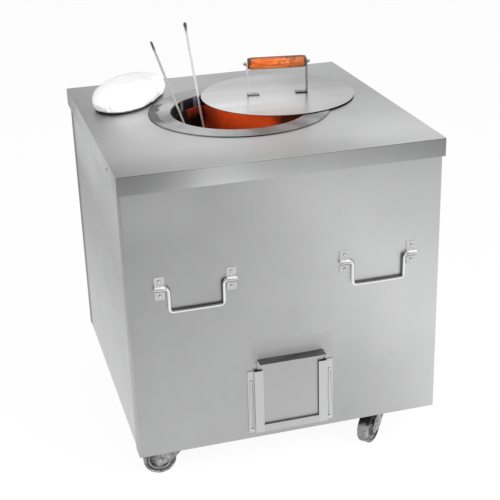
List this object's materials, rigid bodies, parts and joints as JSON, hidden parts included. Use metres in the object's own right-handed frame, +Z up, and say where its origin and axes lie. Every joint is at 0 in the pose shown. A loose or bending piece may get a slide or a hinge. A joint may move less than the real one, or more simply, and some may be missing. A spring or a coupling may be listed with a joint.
{
  "type": "tandoor_oven",
  "caption": "Square stainless tandoor on casters: clay pot in an insulated sheet cabinet, collared top mouth, handled lid, sliding ash door, bail handles, two skewers and a bread pad",
  "frame": {"origin": "on the floor, under the centre of the bounding box", "axes": "+Z up; -Y is the front with the ash door; +X is the right side seen from the front"},
  "size_m": [0.7142, 0.737, 0.9324],
  "materials": {
    "satin_steel": "satin",
    "bright_steel": "brushed",
    "frame_steel": "matte",
    "caster_steel": "satin",
    "wheel_core": "matte",
    "tyre_rubber": "matte",
    "terracotta": "matte",
    "firebrick": "matte",
    "grate_iron": "matte",
    "insulation": "matte",
    "grip_wood": "satin",
    "pad_cloth": "matte"
  },
  "bodies": {
    "cabinet": {"top_cover": "satin_steel", "front_panel": "satin_steel", "left_side_panel": "satin_steel", "right_side_panel": "satin_steel", "back_panel": "satin_steel", "base_plate": "frame_steel", "base_frame": "frame_steel", "corner_posts": "frame_steel", "top_frame": "frame_steel", "mouth_collar": "satin_steel", "clay_pot": "terracotta", "hearth_slab": "firebrick", "fire_grate": "grate_iron", "insulation_fill": "insulation", "ash_duct": "frame_steel", "ash_guide_left": "satin_steel", "ash_guide_right": "satin_steel", "ash_sill": "satin_steel", "guide_screws": "bright_steel", "cover_screws": "bright_steel", "bail_straps_front": "satin_steel", "bail_straps_rear": "satin_steel", "bail_rivets_front": "satin_steel", "bail_rivets_rear": "satin_steel", "caster_plates": "caster_steel", "caster_kingpins": "caster_steel", "caster_bolts": "caster_steel"},
    "lid": {"lid_disc": "bright_steel", "lid_upright_left": "bright_steel", "lid_upright_right": "bright_steel", "lid_grip": "grip_wood", "lid_rod": "bright_steel", "lid_nuts": "bright_steel", "lid_rivets": "bright_steel"},
    "ash_slide": {"ash_door": "satin_steel"},
    "pad": {"bread_pad": "pad_cloth"},
    "left_skewer": {"skewer_1": "bright_steel"},
    "middle_skewer": {"skewer_2": "bright_steel"},
    "front_left_bail": {"bail_front_left": "satin_steel"},
    "front_right_bail": {"bail_front_right": "satin_steel"},
    "rear_left_bail": {"bail_rear_left": "satin_steel"},
    "rear_right_bail": {"bail_rear_right": "satin_steel"},
    "front_left_swivel": {"fork_front_left": "caster_steel", "axle_front_left": "caster_steel"},
    "front_left_roller": {"wheel_front_left": "wheel_core", "tyre_front_left": "tyre_rubber"},
    "front_right_swivel": {"fork_front_right": "caster_steel", "axle_front_right": "caster_steel"},
    "front_right_roller": {"wheel_front_right": "wheel_core", "tyre_front_right": "tyre_rubber"},
    "rear_left_swivel": {"fork_rear_left": "caster_steel", "axle_rear_left": "caster_steel"},
    "rear_left_roller": {"wheel_rear_left": "wheel_core", "tyre_rear_left": "tyre_rubber"},
    "rear_right_swivel": {"fork_rear_right": "caster_steel", "axle_rear_right": "caster_steel"},
    "rear_right_roller": {"wheel_rear_right": "wheel_core", "tyre_rear_right": "tyre_rubber"}
  },
  "joints": [
    {"name": "lid_lift", "type": "slide", "parent": "cabinet", "child": "lid", "axis": [0, 0, 1], "range_m": [0, 0.2]},
    {"name": "ash_door_lift", "type": "slide", "parent": "cabinet", "child": "ash_slide", "axis": [0, 0, 1], "range_m": [0, 0.115]},
    {"name": "pad_lift", "type": "slide", "parent": "cabinet", "child": "pad", "axis": [-0.6, 0, 0.8], "range_m": [0, 0.2]},
    {"name": "skewer_1_pull", "type": "slide", "parent": "cabinet", "child": "left_skewer", "axis": [-0.2717, 0.2785, 0.9212], "range_m": [0, 0.6]},
    {"name": "skewer_2_pull", "type": "slide", "parent": "cabinet", "child": "middle_skewer", "axis": [-0.0686, 0.2888, 0.9549], "range_m": [0, 0.6]},
    {"name": "front_left_bail_hinge", "type": "hinge", "parent": "cabinet", "child": "front_left_bail", "pos_m": [-0.204, -0.34553, 0.505], "axis": [-1, 0, 0], "range_deg": [0, 175]},
    {"name": "front_right_bail_hinge", "type": "hinge", "parent": "cabinet", "child": "front_right_bail", "pos_m": [0.204, -0.34553, 0.505], "axis": [-1, 0, 0], "range_deg": [0, 175]},
    {"name": "rear_left_bail_hinge", "type": "hinge", "parent": "cabinet", "child": "rear_left_bail", "pos_m": [-0.204, 0.36247, 0.505], "axis": [1, 0, 0], "range_deg": [0, 175]},
    {"name": "rear_right_bail_hinge", "type": "hinge", "parent": "cabinet", "child": "rear_right_bail", "pos_m": [0.204, 0.36247, 0.505], "axis": [1, 0, 0], "range_deg": [0, 175]},
    {"name": "front_left_swivel_turn", "type": "hinge", "parent": "cabinet", "child": "front_left_swivel", "pos_m": [-0.245, -0.24952, 0.084], "axis": [0, 0, 1], "continuous": true},
    {"name": "front_left_wheel_roll", "type": "hinge", "parent": "front_left_swivel", "child": "front_left_roller", "pos_m": [-0.28989, -0.24639, 0.038], "axis": [0.0698, 0.9976, 0], "continuous": true},
    {"name": "front_right_swivel_turn", "type": "hinge", "parent": "cabinet", "child": "front_right_swivel", "pos_m": [0.245, -0.24952, 0.084], "axis": [0, 0, 1], "continuous": true},
    {"name": "front_right_wheel_roll", "type": "hinge", "parent": "front_right_swivel", "child": "front_right_roller", "pos_m": [0.21263, -0.28079, 0.038], "axis": [-0.6947, 0.7193, 0], "continuous": true},
    {"name": "rear_left_swivel_turn", "type": "hinge", "parent": "cabinet", "child": "rear_left_swivel", "pos_m": [-0.245, 0.26648, 0.084], "axis": [0, 0, 1], "continuous": true},
    {"name": "rear_left_wheel_roll", "type": "hinge", "parent": "rear_left_swivel", "child": "rear_left_roller", "pos_m": [-0.28578, 0.24746, 0.038], "axis": [-0.4226, 0.9063, 0], "continuous": true},
    {"name": "rear_right_swivel_turn", "type": "hinge", "parent": "cabinet", "child": "rear_right_swivel", "pos_m": [0.245, 0.26648, 0.084], "axis": [0, 0, 1], "continuous": true},
    {"name": "rear_right_wheel_roll", "type": "hinge", "parent": "rear_right_swivel", "child": "rear_right_roller", "pos_m": [0.20603, 0.28897, 0.038], "axis": [0.5, 0.866, 0], "continuous": true}
  ]
}
